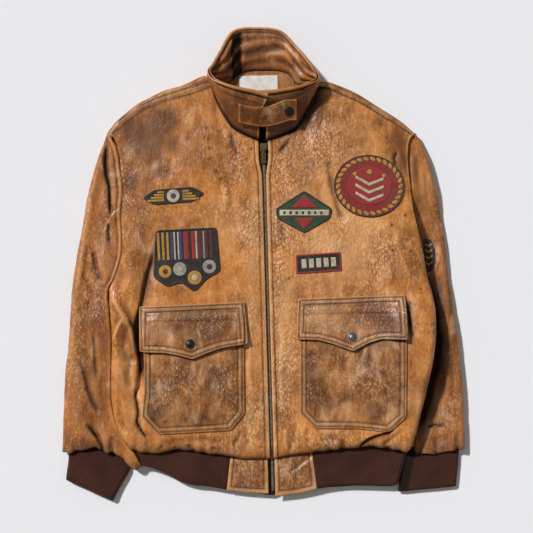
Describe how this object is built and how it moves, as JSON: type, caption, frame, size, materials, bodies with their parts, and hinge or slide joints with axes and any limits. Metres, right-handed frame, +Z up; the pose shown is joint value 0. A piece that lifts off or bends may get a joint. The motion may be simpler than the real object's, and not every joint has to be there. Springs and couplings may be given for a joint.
{
  "type": "leather jacket",
  "caption": "Worn brown leather flight jacket laid flat on its back, zipped shut, with a stand collar and throat strap, flapped patch pockets, cloth badges and knitted cuffs and hem.",
  "frame": {"origin": "on the floor under the middle of the jacket's outline", "axes": "+Z up from the floor, +Y from the hem to the collar, +X to the wearer's left"},
  "size_m": [0.66, 0.771, 0.0661],
  "materials": {
    "leather": "worn, semi-gloss",
    "rib": "knitted wool",
    "tape": "woven",
    "brass": "tarnished",
    "snap": "black lacquer",
    "label": "woven",
    "badge": "embroidered"
  },
  "bodies": {
    "jacket": {"back": "leather", "front_right": "leather", "front_left": "leather", "sleeve_right_top": "leather", "sleeve_right_under": "leather", "sleeve_left_top": "leather", "sleeve_left_under": "leather", "cuff_right": "rib", "cuff_left": "rib", "hem_rib": "rib", "hem_tab_right": "leather", "hem_tab_left": "leather", "collar": "leather", "neck_facing": "leather", "label": "label", "throat_strap": "leather", "strap_snap": "snap", "zip_tape_right": "tape", "zip_tape_left": "tape", "zip_chain": "brass", "zip_slider": "brass", "pocket_right": "leather", "pocket_left": "leather", "flap_right": "leather", "flap_left": "leather", "snap_right": "snap", "snap_left": "snap", "badge_lozenge": "badge", "badge_ribbons": "badge", "badge_diamond": "badge", "badge_bars": "badge", "badge_oval": "badge", "badge_sleeve": "badge"},
    "pull_tab": {"zip_pull": "brass"}
  },
  "joints": [
    {"name": "pull_hinge", "type": "hinge", "parent": "jacket", "child": "pull_tab", "pos_m": [-0.00071, 0.1873, 0.0307], "axis": [-1, 0, 0], "range_deg": [0, 110]}
  ]
}
